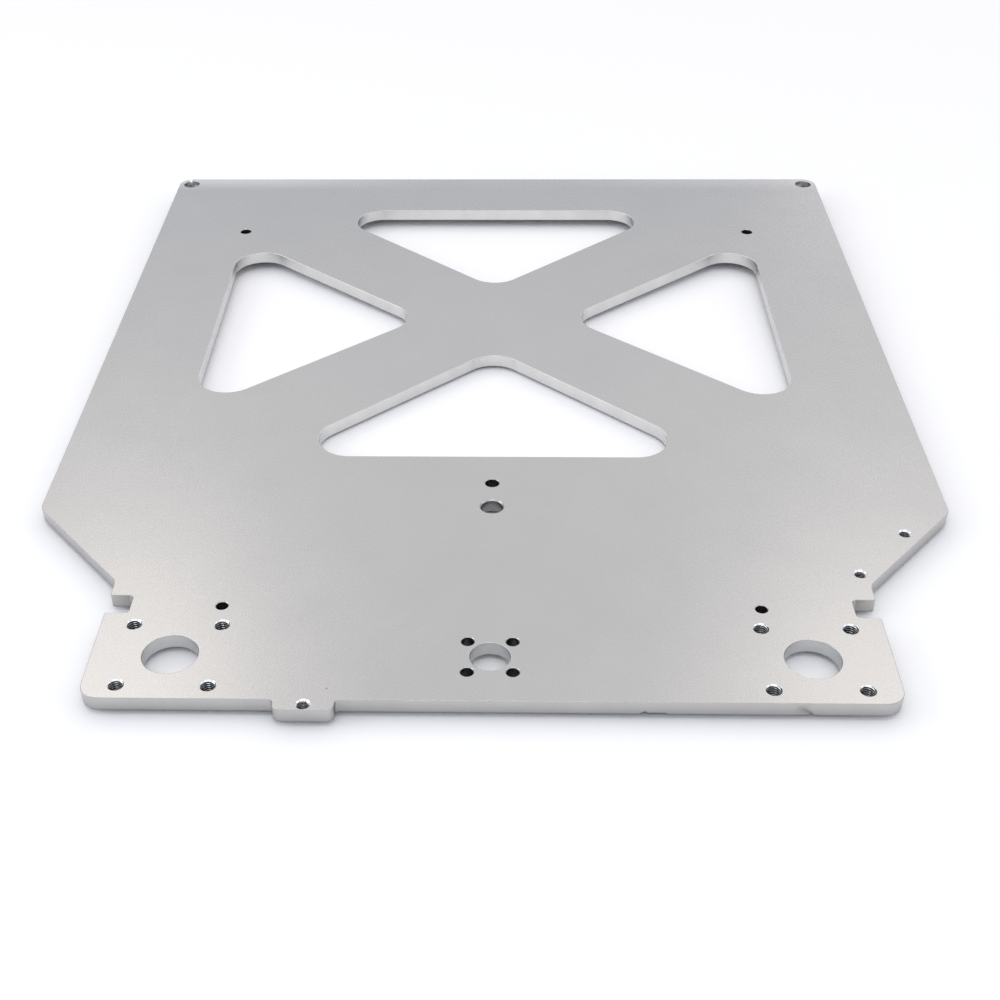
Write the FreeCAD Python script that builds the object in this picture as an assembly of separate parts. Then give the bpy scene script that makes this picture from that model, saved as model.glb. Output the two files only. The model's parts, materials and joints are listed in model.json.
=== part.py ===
import FreeCAD, Part
import math
import os

# A flat aluminium base plate for a small printer, milled from 4 mm plate. The origin is the centre
# of the lead-screw nut's bore on the underside, +X is right, +Y is the far end and +Z is up.

# Plate
plate_thickness = 4.0
edge_break = 0.2
drill_overrun = 1.0

# Outline
front_reach = 16.0
back_reach = 289.6
wide_width = 256.6
outer_corner_radius = 5.0
waist_y = 29.1
shoulder_length = 32.5
waist_radius = 5.0

# Notches in both narrow sides
notch_y = 19.4
notch_width = 7.0
notch_depth = 6.2
notch_root_radius = 1.2
notch_mouth_radius = 0.5

# Tab on the front edge
tab_x = -44.8
tab_width = 15.0
tab_proud = 3.6
tab_corner_radius = 2.0
tab_root_radius = 1.0

# Four windows round a hub, with a rail along the back and both sides
hub_y = 173.6
hub_length = 44.4
hub_width = 49.2
back_rail = 29.9
side_rail = 33.0
front_window_y = 88.6
end_window_base = 136.9
side_window_base = 122.2
window_radius = 10.0

# Lead-screw nut
nut_bore_diameter = 10.3
nut_circle = 16.0
nut_bolt_hole = 3.3
nut_bolt_count = 4

# Guide rods and their flanged bearings
rod_spacing = 160.0
rod_to_side = 20.0
rod_bore_diameter = 14.2
bearing_circle = 32.0
bearing_bolt_count = 4

# Plain holes
front_hole_spacing = 139.8
front_hole_y = 19.0
front_hole_diameter = 3.2
middle_hole_y = 75.0
middle_hole_diameter = 4.0
locating_hole_y = 63.5
locating_hole_diameter = 6.2
locating_hole_chamfer = 0.4
back_hole_spacing = 190.4
back_hole_y = 241.0
back_hole_diameter = 4.0
corner_hole_inset = 4.9
corner_hole_diameter = 6.1

# Tapped holes, at tap-drill size
large_tap_drill = 3.3
large_countersink = 4.2
small_tap_drill = 2.5
small_countersink = 3.7
tab_hole_setback = 2.1
switch_hole_count = 2
switch_hole_pitch = 23.8
switch_hole_start = 2.3
switch_hole_inset = 4.5

# Knocks that the plate has taken
chip_x = 37.4
chip_length = 2.6
chip_height = 0.8
chip_depth = 0.5
nick_angle = 105.0
nick_width = 1.1
nick_depth = 1.3

half_narrow = 0.5 * rod_spacing + rod_to_side
half_wide = 0.5 * wide_width
front_y = -front_reach
shoulder_angle = math.atan2(shoulder_length, half_wide - half_narrow)


def rounded_outline(corners):
    """A closed wire through corners given as x, y and rounding radius, with tangent arcs."""
    points = [FreeCAD.Vector(x, y, 0) for x, y, radius in corners]
    starts = []
    middles = []
    ends = []
    for index, (x, y, radius) in enumerate(corners):
        here = points[index]
        back = (points[index - 1] - here).normalize()
        ahead = (points[(index + 1) % len(points)] - here).normalize()
        half_angle = 0.5 * back.getAngle(ahead)
        tangent = radius / math.tan(half_angle)
        centre = here + (back + ahead).normalize() * (radius / math.sin(half_angle))
        starts.append(here + back * tangent)
        ends.append(here + ahead * tangent)
        middles.append(centre + (here - centre).normalize() * radius)
    edges = []
    for index, start in enumerate(starts):
        edges.append(Part.Arc(start, middles[index], ends[index]).toShape())
        following = starts[(index + 1) % len(starts)]
        edges.append(Part.LineSegment(ends[index], following).toShape())
    return Part.Wire(edges)


def mirrored(corners):
    """The same corners on the other side of the centre line."""
    return [(-x, y, radius) for x, y, radius in reversed(corners)]


def right_side():
    """The right half of the outline, from the front corner to the far one."""
    notch_front = notch_y - 0.5 * notch_width
    notch_back = notch_y + 0.5 * notch_width
    notch_root = half_narrow - notch_depth
    return [
        (half_narrow, front_y, outer_corner_radius),
        (half_narrow, notch_front, notch_mouth_radius),
        (notch_root, notch_front, notch_root_radius),
        (notch_root, notch_back, notch_root_radius),
        (half_narrow, notch_back, notch_mouth_radius),
        (half_narrow, waist_y, waist_radius),
        (half_wide, waist_y + shoulder_length, outer_corner_radius),
        (half_wide, back_reach, outer_corner_radius),
    ]


def tab_corners():
    """The tab, from its left root to its right root."""
    left = tab_x - 0.5 * tab_width
    right = tab_x + 0.5 * tab_width
    tip = front_y - tab_proud
    return [
        (left, front_y, tab_root_radius),
        (left, tip, tab_corner_radius),
        (right, tip, tab_corner_radius),
        (right, front_y, tab_root_radius),
    ]


def window(tip, base_a, base_b):
    """A triangular window with rounded corners."""
    return rounded_outline([(x, y, window_radius) for x, y in (tip, base_a, base_b)])


def windows():
    """One window behind the hub, one before it and one on each side."""
    half_base = 0.5 * end_window_base
    back_y = back_reach - back_rail
    outer_x = half_wide - side_rail
    side_low = hub_y - 0.5 * side_window_base
    side_high = hub_y + 0.5 * side_window_base
    found = [
        window((0, hub_y + 0.5 * hub_length), (half_base, back_y), (-half_base, back_y)),
        window((0, hub_y - 0.5 * hub_length), (-half_base, front_window_y), (half_base, front_window_y)),
    ]
    for side in (-1, 1):
        tip = (side * 0.5 * hub_width, hub_y)
        found.append(window(tip, (side * outer_x, side_low), (side * outer_x, side_high)))
    return found


def drill(x, y, diameter, top_flare=edge_break):
    """A through hole at x, y that widens by top_flare above and by the edge break below."""
    radius = 0.5 * diameter
    bottom = FreeCAD.Vector(x, y, -drill_overrun)
    flare_start = FreeCAD.Vector(x, y, plate_thickness - top_flare)
    upper_height = top_flare + drill_overrun
    lower_height = edge_break + drill_overrun
    tool = Part.makeCylinder(radius, plate_thickness + 2 * drill_overrun, bottom)
    upper = Part.makeCone(radius, radius + upper_height, upper_height, flare_start)
    lower = Part.makeCone(radius + lower_height, radius, lower_height, bottom)
    return tool.fuse([upper, lower])


def tapped(x, y, tap_drill, countersink):
    """A hole for a thread, countersunk on top."""
    return drill(x, y, tap_drill, 0.5 * (countersink - tap_drill))


def circle_of_holes(x, y, circle, count):
    """Centres evenly spaced on a circle, the first one halfway between +X and +Y."""
    turns = [math.pi * (2 * number + 1) / count for number in range(count)]
    return [(x + 0.5 * circle * math.cos(turn), y + 0.5 * circle * math.sin(turn)) for turn in turns]


def nut_seat():
    """The nut's bore and the screw holes round it."""
    tools = [drill(0, 0, nut_bore_diameter)]
    for x, y in circle_of_holes(0, 0, nut_circle, nut_bolt_count):
        tools.append(drill(x, y, nut_bolt_hole))
    return tools


def bearing_seat(x):
    """A guide rod's bore and the tapped holes for its flanged bearing."""
    tools = [drill(x, 0, rod_bore_diameter)]
    for bolt_x, bolt_y in circle_of_holes(x, 0, bearing_circle, bearing_bolt_count):
        tools.append(tapped(bolt_x, bolt_y, large_tap_drill, large_countersink))
    return tools


def plain_holes():
    """The pairs of plain holes and the two holes on the centre line."""
    corner_x = half_wide - corner_hole_inset
    corner_y = back_reach - corner_hole_inset
    tools = [
        drill(0, middle_hole_y, middle_hole_diameter),
        drill(0, locating_hole_y, locating_hole_diameter, locating_hole_chamfer),
    ]
    for side in (-1, 1):
        tools.append(drill(side * 0.5 * front_hole_spacing, front_hole_y, front_hole_diameter))
        tools.append(drill(side * 0.5 * back_hole_spacing, back_hole_y, back_hole_diameter))
        tools.append(drill(side * corner_x, corner_y, corner_hole_diameter))
    return tools


def small_tapped_holes():
    """The tab's tapped hole and the pair along the right shoulder."""
    tools = [tapped(tab_x, front_y - tab_proud + tab_hole_setback, small_tap_drill, small_countersink)]
    along = FreeCAD.Vector(math.cos(shoulder_angle), math.sin(shoulder_angle), 0)
    inward = FreeCAD.Vector(-along.y, along.x, 0)
    line_start = FreeCAD.Vector(half_narrow, waist_y, 0) + inward * switch_hole_inset
    for number in range(switch_hole_count):
        centre = line_start + along * (switch_hole_start + number * switch_hole_pitch)
        tools.append(tapped(centre.x, centre.y, small_tap_drill, small_countersink))
    return tools


def front_chip():
    """A flake lost from the front face's lower arris, deepest in its middle."""
    left = FreeCAD.Vector(chip_x - 0.5 * chip_length, front_y, 0)
    right = FreeCAD.Vector(chip_x + 0.5 * chip_length, front_y, 0)
    top = FreeCAD.Vector(chip_x, front_y, chip_height)
    inner = FreeCAD.Vector(chip_x, front_y + chip_depth, 0)
    outside = FreeCAD.Vector(chip_x, front_y - chip_length, -chip_length)
    sides = [
        (left, top, inner),
        (right, inner, top),
        (left, outside, top),
        (top, outside, right),
        (right, outside, inner),
        (inner, outside, left),
    ]
    faces = [Part.Face(Part.makePolygon([a, b, c, a])) for a, b, c in sides]
    return Part.makeSolid(Part.makeShell(faces))


def corner_nick():
    """A V knocked into the thin wall behind the left corner hole, from the hole outwards."""
    hole = FreeCAD.Vector(-half_wide + corner_hole_inset, back_reach - corner_hole_inset, plate_thickness)
    turn = math.radians(nick_angle)
    out = FreeCAD.Vector(math.cos(turn), math.sin(turn), 0)
    across = FreeCAD.Vector(-out.y, out.x, 0)
    up = FreeCAD.Vector(0, 0, 1)
    deep = hole - up * nick_depth
    left = hole + up * nick_depth + across * nick_width
    right = hole + up * nick_depth - across * nick_width
    profile = Part.Face(Part.makePolygon([deep, left, right, deep]))
    return profile.extrude(out * (corner_hole_diameter + corner_hole_inset))


def base_plate():
    """The whole plate: the outline and windows, the broken arrises, the holes and the knocks."""
    outline = rounded_outline(right_side() + mirrored(right_side()) + tab_corners())
    thickness = FreeCAD.Vector(0, 0, plate_thickness)
    blank = Part.Face(outline).extrude(thickness)
    blank = blank.cut([Part.Face(opening).extrude(thickness) for opening in windows()])
    arrises = [edge for edge in blank.Edges if edge.BoundBox.ZLength < 0.5 * plate_thickness]
    plate = blank.makeChamfer(edge_break, arrises)
    holes = nut_seat() + plain_holes() + small_tapped_holes()
    for side in (-1, 1):
        holes += bearing_seat(side * 0.5 * rod_spacing)
    return plate.cut(holes + [front_chip(), corner_nick()])


os.makedirs("parts", exist_ok=True)
plate = base_plate()
plate.Solids[0].exportStep("parts/base_plate.step")
print("solids", len(plate.Solids), "valid", plate.isValid(), "volume", round(plate.Volume), "mm3")
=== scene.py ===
import json
import math

import bpy
import numpy as np
from mathutils import Matrix, Vector
from mathutils.geometry import delaunay_2d_cdt


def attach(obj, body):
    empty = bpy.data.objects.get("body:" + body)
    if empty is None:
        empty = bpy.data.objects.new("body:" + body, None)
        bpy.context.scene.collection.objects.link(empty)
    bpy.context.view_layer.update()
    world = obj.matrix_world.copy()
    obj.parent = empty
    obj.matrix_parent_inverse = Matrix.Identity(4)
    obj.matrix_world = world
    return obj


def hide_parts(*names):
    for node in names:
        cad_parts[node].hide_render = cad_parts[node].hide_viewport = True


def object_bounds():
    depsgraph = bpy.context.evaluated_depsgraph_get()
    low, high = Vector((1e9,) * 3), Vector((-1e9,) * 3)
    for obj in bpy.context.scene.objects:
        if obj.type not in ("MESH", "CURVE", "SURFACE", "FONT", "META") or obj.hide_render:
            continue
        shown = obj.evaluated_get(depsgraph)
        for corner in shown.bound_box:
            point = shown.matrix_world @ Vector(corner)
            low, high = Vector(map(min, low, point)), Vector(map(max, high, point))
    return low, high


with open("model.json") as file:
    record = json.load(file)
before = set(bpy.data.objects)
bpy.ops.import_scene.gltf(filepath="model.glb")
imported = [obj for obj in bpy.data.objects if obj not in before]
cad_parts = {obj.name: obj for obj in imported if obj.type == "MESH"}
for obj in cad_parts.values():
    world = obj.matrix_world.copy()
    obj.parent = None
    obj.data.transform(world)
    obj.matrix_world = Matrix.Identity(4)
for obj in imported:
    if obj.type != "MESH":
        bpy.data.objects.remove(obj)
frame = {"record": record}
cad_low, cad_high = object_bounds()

# The plate's outline. The blank is sawn from 4 mm rolled aluminium and profiled by an end mill, so
# every corner is an arc of the cutter's own size or larger. A fixture holds it in the two side
# notches, and the tab at the front carries one tapped hole.
mm = 0.001
mounts = {mount["name"]: mount for mount in frame["record"]["mounts"]}
half_wide, back_y, thickness = (round(reach, 5) for reach in cad_high)
half_narrow = mounts["right_rod_bore"]["pos_m"][0] + 20.0 * mm
tab_tip_y = round(cad_low[1], 5)
front_y = tab_tip_y + 3.6 * mm
notch_y, half_notch = 19.4 * mm, 3.5 * mm
notch_root = half_narrow - 6.2 * mm
waist_y = 29.1 * mm
shoulder_y = waist_y + 32.5 * mm
corner_round, mouth_round, root_round = 5.0 * mm, 0.5 * mm, 1.2 * mm
right_corners = np.array([
    (half_narrow, front_y, corner_round),
    (half_narrow, notch_y - half_notch, mouth_round),
    (notch_root, notch_y - half_notch, root_round),
    (notch_root, notch_y + half_notch, root_round),
    (half_narrow, notch_y + half_notch, mouth_round),
    (half_narrow, waist_y, corner_round),
    (half_wide, shoulder_y, corner_round),
    (half_wide, back_y, corner_round),
])
left_corners = right_corners[::-1] * (-1, 1, 1)
tab_x, half_tab = mounts["tab_thread"]["pos_m"][0], 7.5 * mm
tab_root_round, tab_tip_round = 1.0 * mm, 2.0 * mm
tab_corners = np.array([
    (tab_x - half_tab, front_y, tab_root_round),
    (tab_x - half_tab, tab_tip_y, tab_tip_round),
    (tab_x + half_tab, tab_tip_y, tab_tip_round),
    (tab_x + half_tab, front_y, tab_root_round),
])
outline = np.vstack([right_corners, left_corners, tab_corners])


def rightward(heading):
    """The unit vectors a quarter turn to the right of the headings: (sin h, -cos h)."""
    return np.stack([np.sin(heading), -np.cos(heading)], axis=-1)


def rounded_loop(corners, close_ups=(), arc_steps=12, spacing=6 * mm, fine_spacing=0.1 * mm):
    """A closed path round corners given as x, y, radius, with the solid on its left.
    At a corner the heading turns by a, the arc begins radius * tan(|a| / 2) before the corner, and a
    point of it is the arc's centre plus sign(a) * radius times the unit vector right of the heading.
    Straights get a station every spacing, and every fine spacing within reach of a close-up, given
    as x, y, reach. Gives the points, their headings and their distances along the path."""
    here = corners[:, :2]
    radius = corners[:, 2:]
    into = here - np.roll(here, 1, axis=0)
    out = np.roll(into, -1, axis=0)
    turn = np.arctan2(into[:, 0] * out[:, 1] - into[:, 1] * out[:, 0], (into * out).sum(1))
    first = math.atan2(into[0, 1], into[0, 0])
    heading_in = first + np.append(0, np.cumsum(turn)[:-1])
    side = np.sign(turn)[:, None]
    ahead = into / np.linalg.norm(into, axis=1)[:, None]
    start = here - ahead * radius * np.tan(np.abs(turn) / 2)[:, None]
    centre = start - side * radius * rightward(heading_in)
    heading = heading_in[:, None] + turn[:, None] * np.linspace(0, 1, arc_steps + 1)
    points = centre[:, None] + (side * radius)[:, None] * rightward(heading)
    points = np.vstack([points.reshape(-1, 2), points[:1, 0]])
    heading = np.append(heading.ravel(), first + turn.sum())
    along = np.append(0, np.cumsum(np.linalg.norm(np.diff(points, axis=0), axis=1)))
    stations = np.append(along[:-1], np.arange(0, along[-1], spacing))
    fine = np.arange(0, along[-1], fine_spacing)
    fine_points = np.stack([np.interp(fine, along, points[:, k]) for k in (0, 1)], axis=1)
    for x, y, reach in close_ups:
        stations = np.append(stations, fine[np.hypot(*(fine_points - (x, y)).T) < reach])
    stations = np.unique(stations)
    gaps = np.append(np.diff(stations), along[-1] - stations[-1])
    stations = stations[gaps > 0.3 * fine_spacing]
    found = np.stack([np.interp(stations, along, points[:, k]) for k in (0, 1)], axis=1)
    return found, np.interp(stations, along, heading), stations


# Knocks that the plate took in use: a flake gone from the front face's lower arris with a bruise
# beside it, a slanting dent in a shallow hollow further right, and a nick through the thin wall
# behind one corner hole.
chip_x, chip_half, chip_height, chip_depth = 37.4 * mm, 1.3 * mm, 0.8 * mm, 0.5 * mm
bruise_x, bruise_half, bruise_height, bruise_depth = 40.4 * mm, 2.6 * mm, 0.4 * mm, 0.18 * mm
dent_top, dent_foot = mm * np.array((74.1, 2.5)), mm * np.array((77.5, 0.3))
dent_width, dent_depth = 0.6 * mm, 0.42 * mm
hollow_x, hollow_z, hollow_depth = 75.3 * mm, 1.6 * mm, 0.07 * mm
hollow_half, hollow_height = 1.6 * mm, 1.8 * mm
nick_half, nick_depth, nick_turn = 0.55 * mm, 1.3 * mm, math.radians(105)
nick_out = np.array((math.cos(nick_turn), math.sin(nick_turn)))
corner_pair = mounts["corner_pair"]
nicked_hole = np.array((-0.5 * mm * corner_pair["dims"]["spacing_x_mm"], corner_pair["pos_m"][1]))
nick_middle = nicked_hole + 4.6 * mm * nick_out
flake_middle, dent_middle = 39.5 * mm, 75.8 * mm
flake_reach, dent_reach, nick_reach = 4.2 * mm, 4.5 * mm, 1.6 * mm
knock_close_ups = [
    (flake_middle, front_y, flake_reach),
    (dent_middle, front_y, dent_reach),
    (*nick_middle, nick_reach),
]


def knocked_in(x, z):
    """How far the front face is pushed in at x, z, and how dark it is painted there, 0 to 1: grime in
    the knocks and painted shade of their downward faces and slopes. The flake is a pyramid,
    1 - |x| / half - z / height, the bruise a ramp along the arris, the dent a bell across its
    slanting line that grows deeper and narrower towards its lower end, and the hollow a round bell."""
    chip = chip_depth * np.clip(1 - np.abs(x - chip_x) / chip_half - z / chip_height, 0, 1)
    across = np.clip(1 - np.abs(x - bruise_x) / bruise_half, 0, 0.4) / 0.4
    bruise = bruise_depth * across * np.clip(1 - z / bruise_height, 0, 1)
    line = dent_foot - dent_top
    length = np.hypot(*line)
    share = ((x - dent_top[0]) * line[0] + (z - dent_top[1]) * line[1]) / length**2
    off = ((x - dent_top[0]) * line[1] - (z - dent_top[1]) * line[0]) / length
    down = np.clip(share, 0, 1)
    fade = np.clip(share / 0.3 + 0.6, 0, 1) * np.clip((1.15 - share) / 0.2, 0, 1)
    width = dent_width * (1.4 - 0.7 * down)
    dent = dent_depth * (0.2 + 0.8 * down**2) * fade * np.exp(-((off / width) ** 2))
    hollow_far = ((x - hollow_x) / hollow_half) ** 2 + ((z - hollow_z) / hollow_height) ** 2
    hollow = hollow_depth * np.exp(-hollow_far)
    # Painted darkening of the knocks: grime, with painted shade of the flake's downward face and the
    # dent's slope.
    dirt = 3 * np.clip(1 - np.abs(x - chip_x) / (1.4 * chip_half) - z / (1.6 * chip_height), 0, 1)
    dirt = dirt + 2 * across * np.clip(1 - z / (0.75 * mm), 0, 1)
    dirt = dirt + 0.5 * dent / dent_depth + 0.15 * hollow / hollow_depth
    return chip + bruise + dent + hollow, np.clip(dirt, 0, 1)


# The walls. The end mill leaves them upright; blasting rounds their arrises to 0.2 mm. Each wall is a
# profile carried along its path, and all of them end in a ring on the underside and one on top.
# Their finishes are numbered in the order of the plate's material slots.
arris_radius = 0.2 * mm
arris_steps = 4
blasted_face, bright_cut, blasted_edge, drilled_wall = range(4)
tapped_wall, window_wall, bore_wall, reamed_wall = range(4, 8)
shell = {"points": [], "quads": [], "normals": [], "runs": [], "finish": [], "dirt": [], "count": 0}
low_rings, top_rings = [], []


def add_strip(points, normals_low, normals_high, run, finish, dirt):
    """Adds a tube of rows x stations x 3 points, closed round its stations. Its quads run from each
    row to the next one up, with their corner normals from the row below and the row above. The
    finish is a slot for each row of quads, or for each quad, and the darkening 0 to 1 at each
    point: grime and painted shade in the knocks, painted shade in the roots of the threads."""
    rows, count = points.shape[:2]
    ids = shell["count"] + np.arange(rows * count).reshape(rows, count)
    after = np.roll(ids, -1, axis=1)
    quads = np.stack([ids[:-1], after[:-1], after[1:], ids[1:]], axis=-1)
    turn_low, turn_high = np.roll(normals_low, -1, axis=1), np.roll(normals_high, -1, axis=1)
    normals = np.stack([normals_low, turn_low, turn_high, normals_high], axis=2)
    next_run = np.append(run[1:], 2 * run[-1] - run[-2])
    height = points[:, :, 2]
    lower, upper = height[:-1], height[1:]
    across = np.broadcast_to(run, lower.shape)
    beyond = np.broadcast_to(next_run, lower.shape)
    flat = [np.stack(pair, axis=-1) for pair in (
        (across, lower), (beyond, np.roll(lower, -1, axis=1)),
        (beyond, np.roll(upper, -1, axis=1)), (across, upper))]
    shell["points"].append(points.reshape(-1, 3))
    shell["quads"].append(quads.reshape(-1, 4))
    shell["normals"].append(normals.reshape(-1, 3))
    shell["runs"].append(np.stack(flat, axis=2).reshape(-1, 2))
    shell["finish"].append(np.broadcast_to(finish, (rows - 1, count)).ravel())
    shell["dirt"].append(np.broadcast_to(dirt, (rows, count)).ravel())
    shell["count"] += rows * count
    low_rings.append(ids[0])
    top_rings.append(ids[-1])


def add_wall(path, finish, rim=0.0, knocked=False, rows=3):
    """Carries the wall's profile along a path. The lower and upper arrises are quarter circles:
    with b the tilt of the surface, the inset is r * (1 - cos b) and the height r * (1 + sin b), or
    the same below the top. A rim above zero gives a 45 degree chamfer on top instead."""
    points, heading, run = path
    quarter = np.linspace(0, math.pi / 2, arris_steps + 1)
    tilt = np.concatenate([quarter - math.pi / 2, np.zeros(rows), quarter])
    upper_edge = thickness - (rim or arris_radius)
    height = np.concatenate([
        arris_radius * (1 + np.sin(quarter - math.pi / 2)),
        np.linspace(arris_radius, upper_edge, rows + 2)[1:-1],
        thickness - arris_radius * (1 - np.sin(quarter)),
    ])
    inset = np.concatenate([
        arris_radius * (1 - np.sin(quarter)),
        np.zeros(rows),
        arris_radius * (1 - np.cos(quarter)),
    ])
    low_tilt, high_tilt = tilt[:-1], tilt[1:]
    strips = np.full(len(low_tilt), finish)
    if rim:
        keep = len(height) - arris_steps
        height, inset = np.append(height[:keep], thickness), np.append(inset[:keep], rim)
        height[keep - 1] = upper_edge
        low_tilt = np.append(tilt[:keep - 1], math.pi / 4)
        high_tilt = np.append(tilt[1:keep], math.pi / 4)
        strips = np.append(np.full(keep - 1, finish), blasted_edge)
    outward = rightward(heading)
    in_depth = np.zeros((len(height), len(points)))
    slope_x, slope_z, dirt = in_depth, in_depth, in_depth
    if knocked:
        x = np.broadcast_to(points[:, 0], in_depth.shape)
        z = np.broadcast_to(height[:, None], in_depth.shape)
        front = (points[:, 1] < front_y + 0.01 * mm) & (points[:, 0] > 0)
        step = 0.02 * mm
        in_depth, dirt = (front * value for value in knocked_in(x, z))
        slope_x = front * (knocked_in(x + step, z)[0] - knocked_in(x - step, z)[0]) / (2 * step)
        slope_z = front * (knocked_in(x, z + step)[0] - knocked_in(x, z - step)[0]) / (2 * step)
    inward = (inset[:, None] + in_depth)[:, :, None]
    place = points[None] - outward[None] * inward
    level = np.broadcast_to(height[:, None, None], place.shape[:2] + (1,))
    place = np.concatenate([place, level], axis=2)
    onward = np.stack([np.cos(heading), np.sin(heading)], axis=-1)

    def normals(angle, used):
        """The unit normals of the used rows: outward, tilted up by angle, plus the knocks' slopes."""
        flat = np.cos(angle)[:, None, None] * outward[None] + slope_x[used, :, None] * onward
        up = np.sin(angle)[:, None] + slope_z[used]
        both = np.concatenate([flat, up[:, :, None]], axis=2)
        return both / np.linalg.norm(both, axis=2, keepdims=True)

    below, above = normals(low_tilt, slice(0, -1)), normals(high_tilt, slice(1, None))
    add_strip(place, below, above, run, strips[:, None], dirt)


add_wall(rounded_loop(outline, knock_close_ups), blasted_edge, knocked=True, rows=16)

# The four windows. They are milled right through to make the plate light, with 10 mm corners, and
# leave an X of metal that meets in a hub, with a rail along the back and both sides.
hub_y, half_hub_length, half_hub_width = 173.6 * mm, 22.2 * mm, 24.6 * mm
front_base_y, back_base_y, half_end_base = 88.6 * mm, back_y - 29.9 * mm, 68.45 * mm
side_base_x, half_side_base = half_wide - 33.0 * mm, 61.1 * mm
window_round = 10.0 * mm
side_low, side_high = hub_y - half_side_base, hub_y + half_side_base
window_tips = np.array([
    [(0, hub_y + half_hub_length), (-half_end_base, back_base_y), (half_end_base, back_base_y)],
    [(0, hub_y - half_hub_length), (half_end_base, front_base_y), (-half_end_base, front_base_y)],
    [(-half_hub_width, hub_y), (-side_base_x, side_low), (-side_base_x, side_high)],
    [(half_hub_width, hub_y), (side_base_x, side_high), (side_base_x, side_low)],
])
for tips in window_tips:
    corners = np.column_stack([tips, np.full(len(tips), window_round)])
    add_wall(rounded_loop(corners, arc_steps=24), window_wall)


# The bores and plain holes, reamed or drilled through. The large ones let the guide rods and the
# lead-screw nut through and are blasted with the plate; the small ones are drilled afterwards.
def circle(x, y, radius, count):
    """A round path with the solid outside it, so it runs clockwise: heading = -90 degrees - turn."""
    turn = 2 * math.pi * np.arange(count) / count
    points = np.stack([x + radius * np.cos(turn), y - radius * np.sin(turn)], axis=1)
    return points, -turn - math.pi / 2, radius * turn


def pattern(name):
    """The centres and hole radius of a mount: one place, two in a row, or several on a circle."""
    mount = mounts[name]
    sizes = mount["dims"]
    x, y = mount["pos_m"][:2]
    radius = mm * sizes.get("hole_r_mm", sizes.get("r_mm", 0))
    if "pcd_mm" in sizes:
        turn = math.pi * (2 * np.arange(sizes["count"]) + 1) / sizes["count"]
        spread = 0.5 * mm * sizes["pcd_mm"] * np.stack([np.cos(turn), np.sin(turn)], axis=1)
    elif "spacing_x_mm" in sizes:
        spread = 0.5 * mm * sizes["spacing_x_mm"] * np.array([(-1.0, 0.0), (1.0, 0.0)])
    else:
        spread = np.zeros((1, 2))
    return spread + (x, y), radius


for name in ("left_rod_bore", "right_rod_bore", "nut_bore"):
    (place,), radius = pattern(name)
    add_wall(circle(*place, radius, count=144), bore_wall)
for name in ("nut_bolts", "front_pair", "back_pair", "middle_hole"):
    places, radius = pattern(name)
    for place in places:
        add_wall(circle(*place, radius, count=64), drilled_wall, rim=arris_radius)
places, radius = pattern("corner_pair")
for place in places:
    add_wall(circle(*place, radius, count=192), bore_wall)
(place,), radius = pattern("locating_hole")
add_wall(circle(*place, radius, count=96), reamed_wall, rim=0.4 * mm)


# The tapped holes: M4 round both guide rods for the bearings' flanges, M3 in the tab and along the
# right shoulder. They are drilled, countersunk and tapped after the blasting, so the metal is bright,
# but the roots of the threads are painted dark: painted shade inside the holes.
def groove(phase, crest_flat=0.125, root_flat=0.25):
    """How far into the metal the thread is cut, 0 at its crest and 1 at its root, for a phase of 1 a
    turn: a V whose crest and root are flattened over an eighth and a quarter of the pitch."""
    away = np.abs((phase % 1.0) - 0.5) * 2
    return np.clip((1 - crest_flat - away) / (1 - crest_flat - root_flat), 0, 1)


def add_thread(x, y, crest, root, pitch, rim, around=48, rows_per_pitch=9):
    """The wall of a tapped hole. Its radius at turn t and height z is the largest of the thread's,
    crest + (root - crest) * groove(z / pitch - t / 2 pi), the countersink's, which narrows at 45
    degrees below the top, and that of a small chamfer at the bottom. The countersink is bright. The
    thread's painted shade is its depth, 0 at the crest and 1 at the root."""
    turn = -2 * math.pi * np.arange(around) / around
    rows = int(round(thickness / pitch * rows_per_pitch)) + 1
    height = np.linspace(0, thickness, rows)[:, None]

    def radius(turned, up):
        thread = crest + (root - crest) * groove(up / pitch - turned / (2 * math.pi))
        return np.maximum(thread, np.maximum(rim - (thickness - up), crest + arris_radius - up))

    size = radius(turn, height)
    step = 0.01
    rise = pitch / 40
    by_turn = (radius(turn + step, height) - radius(turn - step, height)) / (2 * step)
    by_height = (radius(turn, height + rise) - radius(turn, height - rise)) / (2 * rise)
    towards = np.stack([-np.cos(turn), -np.sin(turn)], axis=-1)
    round_way = np.stack([-np.sin(turn), np.cos(turn)], axis=-1)
    flat = towards[None] + (by_turn / size)[:, :, None] * round_way[None]
    normals = np.concatenate([flat, by_height[:, :, None]], axis=2)
    normals /= np.linalg.norm(normals, axis=2, keepdims=True)
    level = np.broadcast_to(height, size.shape)
    place = np.stack([x + size * np.cos(turn), y + size * np.sin(turn), level], axis=2)
    middle = 0.5 * (height[:-1] + height[1:])
    in_thread = rim - (thickness - middle) < radius(turn, middle) - 0.001 * mm
    finish = np.where(in_thread, tapped_wall, bright_cut)
    # Painted shade: the thread is painted darker the deeper its root.
    depth = (size - crest) / (root - crest)
    root_shade = np.where(depth > 1.01, 0, np.clip(depth, 0, 1))
    add_strip(place, normals[:-1], normals[1:], -turn * crest, finish, root_shade)


for name in ("left_bearing_bolts", "right_bearing_bolts"):
    places, radius = pattern(name)
    for place in places:
        add_thread(*place, crest=radius, root=2.0 * mm, pitch=0.7 * mm, rim=2.1 * mm)
for name in ("tab_thread", "shoulder_thread_near", "shoulder_thread_far"):
    (place,), radius = pattern(name)
    add_thread(*place, crest=radius, root=1.5 * mm, pitch=0.5 * mm, rim=1.85 * mm)

# The flat faces, top and underside, as rolled and then blasted. Each is a net of triangles between
# all the rings, with loose points 9 mm apart in between.
points = np.vstack(shell["points"])


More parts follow.
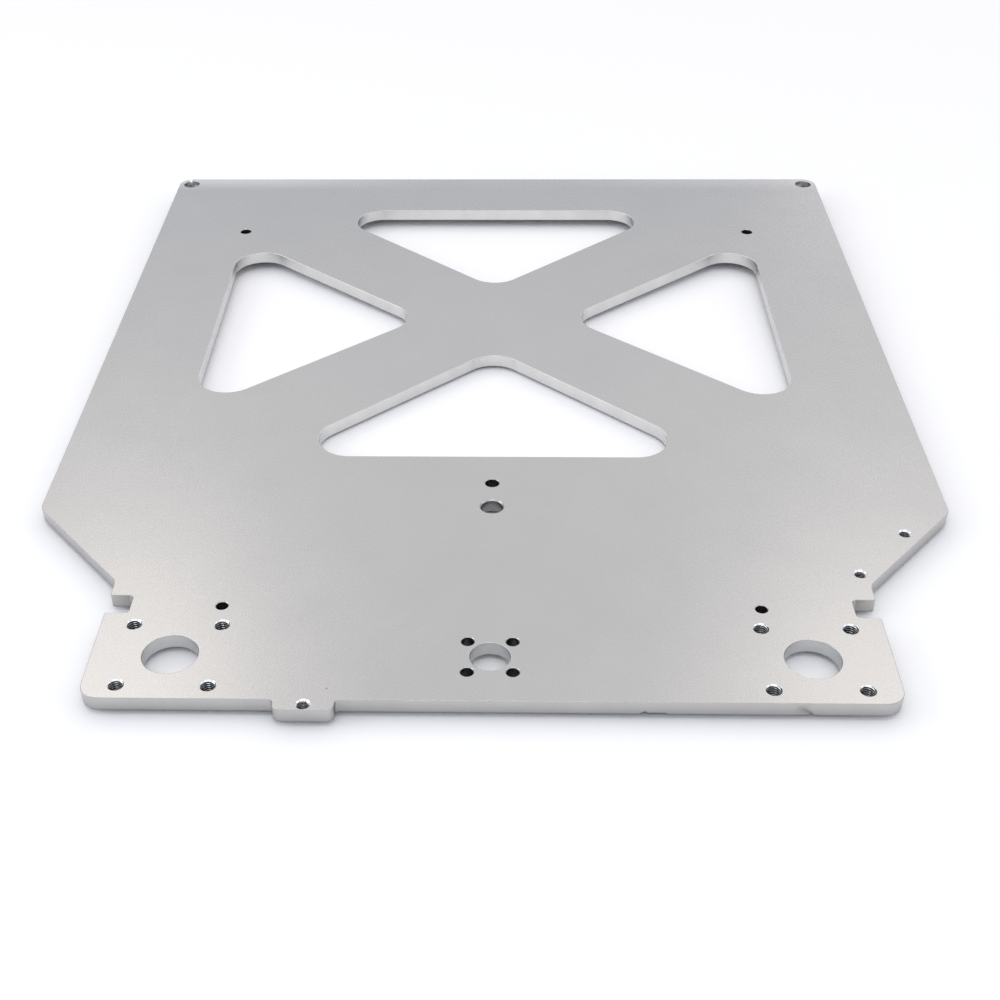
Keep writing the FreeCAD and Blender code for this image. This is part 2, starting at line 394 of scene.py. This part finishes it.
def crossings(places, starts, ends):
    """For each place, how many of the edges a ray towards +X crosses."""
    x, y = places[:, :1], places[:, 1:]
    spans = (starts[:, 1] > y) != (ends[:, 1] > y)
    rise = np.where(ends[:, 1] == starts[:, 1], 1, ends[:, 1] - starts[:, 1])
    at = starts[:, 0] + (y - starts[:, 1]) * (ends[:, 0] - starts[:, 0]) / rise
    return (spans & (at > x)).sum(1)


def flat_face(rings, spacing=9 * mm, clearance=3 * mm):
    """The ids of the triangles that fill the space inside the first ring and outside the others,
    and the loose points that they need, on a grid of equal triangles and clear of the rings. A
    triangle is kept if a ray from its middle crosses the rings an odd number of times."""
    ids = np.concatenate(rings)
    edge_from = np.arange(len(ids))
    ends = np.cumsum([len(ring) for ring in rings])
    edge_to = edge_from + 1
    edge_to[ends - 1] = np.append(0, ends[:-1])
    at = points[ids, :2]
    starts, stops = at[edge_from], at[edge_to]
    row_numbers = np.arange(-2, 38)
    grid_x, grid_y = np.meshgrid(np.arange(-14, 15) * spacing, row_numbers * spacing * 0.866)
    grid_x = grid_x + 0.5 * spacing * (row_numbers % 2)[:, None]
    loose = np.stack([grid_x.ravel(), grid_y.ravel()], axis=1)
    loose = loose[crossings(loose, starts, stops) % 2 == 1]
    gap = np.linalg.norm(loose[:, None] - at[None], axis=2).min(1)
    loose = loose[gap > clearance]
    spots = np.vstack([at, loose]) / mm
    edges = np.stack([edge_from, edge_to], axis=1).tolist()
    _, _, faces, origins, _, _ = delaunay_2d_cdt([Vector(spot) for spot in spots], edges, [], 0, 1e-6)
    source = np.array([origin[0] for origin in origins])
    triangles = source[np.array([face for face in faces if len(face) == 3])]
    middle = spots[triangles].mean(1) * mm
    triangles = triangles[crossings(middle, starts, stops) % 2 == 1]
    a, b, c = (spots[triangles[:, k]] for k in range(3))
    area = (b[:, 0] - a[:, 0]) * (c[:, 1] - a[:, 1]) - (b[:, 1] - a[:, 1]) * (c[:, 0] - a[:, 0])
    triangles[area < 0] = triangles[area < 0][:, ::-1]
    all_ids = np.append(ids, len(points) + np.arange(len(loose)))
    return all_ids[triangles], loose


top_triangles, loose = flat_face(top_rings)
points = np.vstack([points, np.column_stack([loose, np.full(len(loose), thickness)])])
low_triangles, loose = flat_face(low_rings)
points = np.vstack([points, np.column_stack([loose, np.zeros(len(loose))])])
low_triangles = low_triangles[:, ::-1]

# The nick runs outwards from the left corner hole: a V, open at the top, whose depth falls off
# evenly to both sides of its line. The upper part of both walls is pressed down to it.
nick_length = 6.0 * mm
pressed_from = thickness - nick_depth - 0.4 * mm
off = points[:, :2] - nicked_hole
along, across = off @ nick_out, off @ np.array((-nick_out[1], nick_out[0]))
pressed = nick_depth * np.clip(1 - np.abs(across) / nick_half, 0, 1)
pressed = pressed * ((along > 0) & (along < nick_length))
share = np.clip((points[:, 2] - pressed_from) / (thickness - pressed_from), 0, 1)
points[:, 2] -= pressed * share

# The whole plate: the walls and faces joined into one closed skin, with the walls' smooth normals.
triangles = np.vstack([top_triangles, low_triangles])
corners = points[triangles]
face_normals = np.cross(corners[:, 1] - corners[:, 0], corners[:, 2] - corners[:, 0])
face_normals /= np.linalg.norm(face_normals, axis=1)[:, None]
corner_normals = np.vstack(shell["normals"] + [np.repeat(face_normals, 3, axis=0)])
quads = np.vstack(shell["quads"])
runs = np.vstack(shell["runs"] + [corners[:, :, :2].reshape(-1, 2)])
plate_mesh = bpy.data.meshes.new("plate")
plate_mesh.from_pydata(points.tolist(), [], quads.tolist() + triangles.tolist())
finish_ids = np.concatenate(shell["finish"] + [np.full(len(triangles), blasted_face)])
plate_mesh.polygons.foreach_set("material_index", finish_ids)
plate_mesh.polygons.foreach_set("use_smooth", np.ones(len(finish_ids), bool))
dirt = np.concatenate(shell["dirt"] + [np.zeros(len(points) - shell["count"])])
plate_mesh.attributes.new("dirt", "FLOAT", "POINT").data.foreach_set("value", dirt)
plate_mesh.uv_layers.new(name="run").data.foreach_set("uv", runs.ravel())
plate_mesh.normals_split_custom_set(corner_normals.tolist())
plate = bpy.data.objects.new("plate", plate_mesh)
bpy.context.scene.collection.objects.link(plate)
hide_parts("base_plate")


# The finish. The plate is glass-bead blasted and clear anodised: an even silver grey, satin, with a
# fine grain and faint cloudiness. Countersinks and threads were cut later and are bright, with
# painted shade in the roots of the threads.
class Wire:
    """A socket of a material. Sums, differences and products with wires or numbers add Math nodes."""

    def __init__(self, tree, socket=None):
        self.tree = tree
        self.socket = socket

    def node(self, kind, sockets=(), settings=(), output=0):
        """A node of any kind: its settings are made first, then the values or links of its sockets."""
        made = self.tree.nodes.new(kind)
        for key, value in dict(settings).items():
            setattr(made, key, value)
        for key, value in dict(sockets).items():
            if isinstance(value, Wire):
                self.tree.links.new(value.socket, made.inputs[key])
            else:
                made.inputs[key].default_value = value
        return Wire(self.tree, made.outputs[output] if made.outputs else None)

    def math(self, operation, *values):
        return self.node("ShaderNodeMath", enumerate(values), {"operation": operation})

    def __add__(self, other):
        return self.math("ADD", self, other)

    def __sub__(self, other):
        return self.math("SUBTRACT", self, other)

    def __rsub__(self, other):
        return self.math("SUBTRACT", other, self)

    def __mul__(self, other):
        return self.math("MULTIPLY", self, other)

    __radd__ = __add__
    __rmul__ = __mul__

    def within(self, low, high):
        """0 at low, 1 at high and smooth between, whichever of them is the larger."""
        sockets = {"Value": self, "From Min": low, "From Max": high}
        return self.node("ShaderNodeMapRange", sockets, {"interpolation_type": "SMOOTHSTEP"})

    def mix(self, first, second):
        """The first colour where this is 0 and the second where it is 1."""
        sockets = {"Factor": self, 6: first, 7: second}
        return self.node("ShaderNodeMix", sockets, {"data_type": "RGBA"}, 2)

    def times(self, other):
        """The product of two colours."""
        sockets = {"Factor": 1.0, 6: self, 7: other}
        return self.node("ShaderNodeMix", sockets, {"data_type": "RGBA", "blend_type": "MULTIPLY"}, 2)

    def stretched(self, factors):
        """This place with its coordinates multiplied by the factors."""
        return self.node("ShaderNodeVectorMath", {0: self, 1: factors}, {"operation": "MULTIPLY"})

    def noise(self, scale, detail, roughness):
        """Noise at this place, from about 0.3 to 0.7, with scale cells to the metre."""
        sockets = {"Vector": self, "Scale": scale, "Detail": detail, "Roughness": roughness}
        return self.node("ShaderNodeTexNoise", sockets)


def new_finish(name):
    """An empty material, a wire to build it from, and what closes it with a Principled shader."""
    material = bpy.data.materials.new(name)
    material.use_nodes = True
    tree = material.node_tree
    tree.nodes.clear()
    wire = Wire(tree)

    def close(**sockets):
        named = {key.replace("_", " ").title(): value for key, value in sockets.items()}
        shader = wire.node("ShaderNodeBsdfPrincipled", named)
        wire.node("ShaderNodeOutputMaterial", {"Surface": shader})
        plate_mesh.materials.append(material)

    return wire, close


white = (1, 1, 1, 1)
# Painted highlight: a lighter silver band along the back edge of the flat faces, stronger at the left.
sheen_silver, sheen_width = (0.77, 0.77, 0.785, 1), 12.0 * mm
speck_brown, speck_place = (0.16, 0.13, 0.11, 1), (-39.6 * mm, -12.0 * mm, thickness)
# The knocks' dark colour: grime, with painted shade.
knock_grime_and_shade = (0.07, 0.065, 0.06, 1)
# Painted shade: the colour of the roots of the threads.
root_shade_colour = (0.012, 0.011, 0.01, 1)


def blasted(name, dark, light, gloss, marks=False, foot_shade=white, foot_shade_line=white):
    """The blasted skin. The colour goes from dark to light with the cloudiness and the grain. The
    flat faces have one brown speck of grime and a painted highlight: a band painted lighter along the
    back edge. The walls have the faint upright marks of the end mill, painted shade that darkens
    them towards the bottom, a darker painted line of shade along their lower arris, and their knocks
    painted dark, with grime and painted shade."""
    wire, close = new_finish(name)
    place = wire.node("ShaderNodeTexCoord", output="Object")
    grain = place.noise(scale=3600, detail=3, roughness=0.6)
    cloud = place.noise(scale=55, detail=4, roughness=0.55)
    wide = place.noise(scale=9, detail=2, roughness=0.5)
    tone = (cloud - 0.5) * 0.8 + (wide - 0.5) * 0.5 + (grain - 0.5) * 0.5 + 0.5
    roughness = gloss + (grain - 0.5) * 0.06 + (cloud - 0.5) * 0.02
    if marks:
        flat = wire.node("ShaderNodeUVMap", settings={"uv_map": "run"})
        upright = flat.stretched((1.0, 0.06, 0.0))
        passes = upright.noise(scale=2400, detail=2, roughness=0.5)
        waves = upright.noise(scale=110, detail=2, roughness=0.5)
        height = grain * 0.8 + passes * 0.2
        roughness = roughness + (passes - 0.5) * 0.04
        up = wire.node("ShaderNodeSeparateXYZ", {0: flat}, output="Y")
        tone = (waves - 0.5) * 0.9 + tone
        # Painted shade: the walls darken towards the bottom, and a darker painted line runs along the
        # lower arris.
        shade = up.within(-0.5 * thickness, thickness).mix(foot_shade, white)
        line = up.within(0.05 * mm, 0.5 * mm).mix(foot_shade_line, white)
        colour = tone.mix(dark, light).times(shade).times(line)
        # The knocks are painted dark: grime, with painted shade of their downward faces and slopes.
        dirt = wire.node("ShaderNodeAttribute", settings={"attribute_name": "dirt"}, output="Fac")
        colour = dirt.mix(colour, knock_grime_and_shade)
    else:
        x = wire.node("ShaderNodeSeparateXYZ", {0: place}, output="X")
        y = wire.node("ShaderNodeSeparateXYZ", {0: place}, output="Y")
        # Painted highlight: the band along the back edge is painted lighter, most of all on the left.
        to_left, to_right = x.within(-10 * mm, -110 * mm), x.within(20 * mm, 80 * mm)
        sheen = 0.15 + to_left * 0.85 + to_right * 0.3
        sheen = sheen * y.within(back_y - sheen_width, back_y)
        colour = sheen.mix(tone.mix(dark, light), sheen_silver)
        sockets = {0: place, 1: speck_place}
        away = wire.node("ShaderNodeVectorMath", sockets, {"operation": "DISTANCE"}, output=1)
        colour = away.within(0.12 * mm, 0.3 * mm).mix(speck_brown, colour)
        height = grain
    sockets = {"Strength": 0.13, "Distance": 0.06 * mm, "Height": height}
    normal = wire.node("ShaderNodeBump", sockets)
    close(base_color=colour, metallic=1.0, roughness=roughness, normal=normal)


def machined(name, dark, light, gloss, ring_scale, shaded_roots=False):
    """Metal left as the tool cut it, with fine rings up the wall. Painted shade darkens the roots of
    the threads."""
    wire, close = new_finish(name)
    flat = wire.node("ShaderNodeUVMap", settings={"uv_map": "run"})
    rings = flat.stretched((0.05, 1.0, 0.0)).noise(ring_scale, detail=3, roughness=0.6)
    colour = rings.mix(dark, light)
    if shaded_roots:
        # Painted shade in the roots of the threads, deepest at the root.
        root_shade = wire.node("ShaderNodeAttribute", settings={"attribute_name": "dirt"}, output="Fac")
        colour = root_shade.within(0.0, 0.7).mix(colour, root_shade_colour)
    roughness = gloss + (rings - 0.5) * 0.2
    sockets = {"Strength": 0.3, "Distance": 0.05 * mm, "Height": rings}
    normal = wire.node("ShaderNodeBump", sockets)
    close(base_color=colour, metallic=1.0, roughness=roughness, normal=normal)


blasted("blasted_face", (0.515, 0.518, 0.524, 1), (0.575, 0.575, 0.576, 1), gloss=0.27)
machined("bright_cut", (0.88, 0.88, 0.89, 1), (0.98, 0.98, 0.98, 1), gloss=0.24, ring_scale=9000)
# Painted shade: the outer edge darkens towards the bottom, with a darker painted line along its lower
# arris.
blasted("blasted_edge", (0.495, 0.488, 0.480, 1), (0.57, 0.563, 0.554, 1), gloss=0.33, marks=True,
        foot_shade=(0.64, 0.63, 0.62, 1), foot_shade_line=(0.4, 0.4, 0.4, 1))
# The drilled walls are painted near black: painted shade inside the small holes.
machined("drilled_wall", (0.10, 0.10, 0.105, 1), (0.20, 0.20, 0.205, 1), gloss=0.38, ring_scale=7000)
machined("tapped_wall", (0.05, 0.05, 0.052, 1), (0.66, 0.67, 0.69, 1), gloss=0.12, ring_scale=12000,
         shaded_roots=True)
# The window walls share the faces' blasted finish but are painted lighter: painted light.
blasted("window_wall", (0.61, 0.602, 0.592, 1), (0.80, 0.79, 0.776, 1), gloss=0.29, marks=True)
# The bore walls are painted lighter than the faces, which is painted light, and darken towards the
# bottom, which is painted shade.
blasted("bore_wall", (0.565, 0.57, 0.565, 1), (0.69, 0.695, 0.69, 1), gloss=0.30, marks=True,
        foot_shade=(0.85, 0.85, 0.85, 1))
machined("reamed_wall", (0.34, 0.34, 0.345, 1), (0.44, 0.44, 0.445, 1), gloss=0.16, ring_scale=5000)
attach(plate, "root")

# White paper on the table, not quite flat: the photograph's shadows fit a gap of about 1 mm under
# the plate's middle, 1.7 mm under its front, 3 mm under its back and up to 0.8 mm more beside its
# side rails. The camera and mirrors see it lighter than it lights the plate, so the shadow stays.
paper_reach = 2.5
middle_y, front_run, back_run = 120 * mm, 150 * mm, 170 * mm
middle_dip, front_dip, back_dip, rail_dip = 0.9 * mm, 0.8 * mm, 2.3 * mm, 0.8 * mm
rail_start, rail_run = 50 * mm, 45 * mm
rail_front, rail_back, rail_fade = 50 * mm, 260 * mm, 60 * mm
near_columns = np.linspace(-130 * mm, 130 * mm, 27)
near_rows = np.linspace(-30 * mm, 290 * mm, 65)
paper_columns = np.concatenate([[-paper_reach], near_columns, [paper_reach]])
paper_rows = np.concatenate([[-paper_reach], near_rows, [paper_reach]])


def ease(share):
    """A smooth step from 0 to 1: share squared times (3 - 2 share)."""
    share = np.clip(share, 0, 1)
    return share**2 * (3 - 2 * share)


paper_x, paper_y = np.meshgrid(paper_columns, paper_rows)
dip = middle_dip + front_dip * ease((middle_y - paper_y) / front_run)
dip = dip + back_dip * ease((paper_y - middle_y) / back_run)
by_rails = ease((np.abs(paper_x) - rail_start) / rail_run)
between_ends = ease((paper_y - rail_front) / rail_fade) * ease((rail_back - paper_y) / rail_fade)
dip = dip + rail_dip * by_rails * between_ends
paper_points = np.stack([paper_x, paper_y, -dip], axis=2)
ids = np.arange(paper_x.size).reshape(paper_x.shape)
paper_quads = np.stack([ids[:-1, :-1], ids[:-1, 1:], ids[1:, 1:], ids[1:, :-1]], axis=2).reshape(-1, 4)
table_mesh = bpy.data.meshes.new("table_paper")
table_mesh.from_pydata(paper_points.reshape(-1, 3).tolist(), [], paper_quads.tolist())
table_mesh.polygons.foreach_set("use_smooth", np.ones(len(paper_quads), bool))
table_top = bpy.data.objects.new("table_paper", table_mesh)
bpy.context.scene.collection.objects.link(table_top)
material = bpy.data.materials.new("white_paper")
material.use_nodes = True
material.node_tree.nodes.clear()
wire = Wire(material.node_tree)
lit_paper, seen_paper = (0.75, 0.75, 0.755, 1), (1.034, 1.030, 1.038, 1)
ray_kinds = ("Is Camera Ray", "Is Glossy Ray", "Is Transmission Ray")
rays = [wire.node("ShaderNodeLightPath", output=kind) for kind in ray_kinds]
seen = rays[0] + rays[1] + rays[2]
paint = wire.node("ShaderNodeBsdfDiffuse", {"Color": seen.mix(lit_paper, seen_paper)})
wire.node("ShaderNodeOutputMaterial", {"Surface": paint})
table_mesh.materials.append(material)

# The light: a pale room, dimmer on the camera's side. Behind the plate its bright ceiling reaches
# down to about 25 degrees above the table, with a cooler band below. Lamps behind the plate
# brighten its front corners, and those beside it and by the camera show in its countersinks.
near_ceiling, high_ceiling = (0.970, 0.955, 0.962, 1), (0.905, 0.888, 0.893, 1)
low_band, camera_side = (0.515, 0.555, 0.625, 1), (0.60, 0.62, 0.66, 1)
seen_backdrop = (0.93, 0.93, 0.935, 1)
world = bpy.data.worlds.new("pale_room")
world.use_nodes = True
room = Wire(world.node_tree)
way = room.node("ShaderNodeTexCoord", output="Generated")
rise = room.node("ShaderNodeSeparateXYZ", {0: way}, output="Z")
depth = room.node("ShaderNodeSeparateXYZ", {0: way}, output="Y")
ceiling = rise.within(0.60, 0.72).mix(near_ceiling, high_ceiling)
far_side = rise.within(0.318, 0.461).mix(low_band, ceiling)
walls = depth.within(-0.5, 0.2).mix(camera_side, far_side)
backdrop = room.node("ShaderNodeLightPath", output="Is Camera Ray")
walls = backdrop.mix(walls, seen_backdrop)
world.node_tree.links.new(walls.socket, world.node_tree.nodes["Background"].inputs["Color"])
bpy.context.scene.world = world
aim, lamp_distance = Vector((0, 0.12, 0)), 1.3
warm, cool = (1.08, 1.0, 0.89), (0.95, 1.0, 1.06)
for name, azimuth, elevation, width, height, radiance, tint in (
    ("left_lamp", -31.6, 45.4, 0.387, 0.293, 1.12, warm),
    ("right_lamp", 31.6, 45.4, 0.387, 0.293, 0.94, warm),
    ("low_lamp", 28.9, 15.0, 0.605, 0.129, 1.04, warm),
    ("front_lamp", 180.0, 48.0, 1.6, 0.35, 0.9, cool),
    ("top_lamp", 180.0, 69.4, 0.60, 0.12, 6.0, cool),
    ("left_side_lamp", -100.0, 26.0, 0.9, 0.5, 1.6, cool),
    ("right_side_lamp", 100.0, 26.0, 0.9, 0.5, 0.5, cool),
):
    lamp = bpy.data.lights.new(name, "AREA")
    lamp.shape = "RECTANGLE"
    lamp.size = width
    lamp.size_y = height
    lamp.energy = radiance * math.pi * width * height
    lamp.color = tint
    lamp_object = bpy.data.objects.new(name, lamp)
    across, up = math.radians(azimuth), math.radians(elevation)
    away = Vector((math.sin(across) * math.cos(up), math.cos(across) * math.cos(up), math.sin(up)))
    lamp_object.location = aim + lamp_distance * away
    lamp_object.rotation_euler = (-away).to_track_quat("-Z", "Y").to_euler()
    bpy.context.scene.collection.objects.link(lamp_object)

# The camera, above the front edge and looking down at the plate. It was found from the places of the
# holes and edges: with a 1000 pixel square frame its focal length is 1446.5 pixels.
camera_place = (0.002073, -0.268231, 0.245259)
frame_pixels, focal_pixels = 1000, 1446.5
pitch, yaw, roll = (math.radians(angle) for angle in (37.8264, -1.6779, 0.7002))
forward = Vector((math.sin(yaw) * math.cos(pitch), math.cos(yaw) * math.cos(pitch), -math.sin(pitch)))
level_right = Vector((math.cos(yaw), -math.sin(yaw), 0))
level_down = forward.cross(level_right)
right = math.cos(roll) * level_right + math.sin(roll) * level_down
down = math.cos(roll) * level_down - math.sin(roll) * level_right
lens = bpy.data.cameras.new("camera")
lens.sensor_width = 36.0
lens.lens = lens.sensor_width * focal_pixels / frame_pixels
lens.shift_x = 0.0345
lens.shift_y = 0.0518
lens.clip_start = 0.01
lens.clip_end = 20.0
camera = bpy.data.objects.new("camera", lens)
turned = Matrix((right, -down, -forward)).transposed().to_4x4()
camera.matrix_world = Matrix.Translation(camera_place) @ turned
bpy.context.scene.collection.objects.link(camera)
bpy.context.scene.camera = camera
bpy.context.scene.view_settings.view_transform = "Standard"
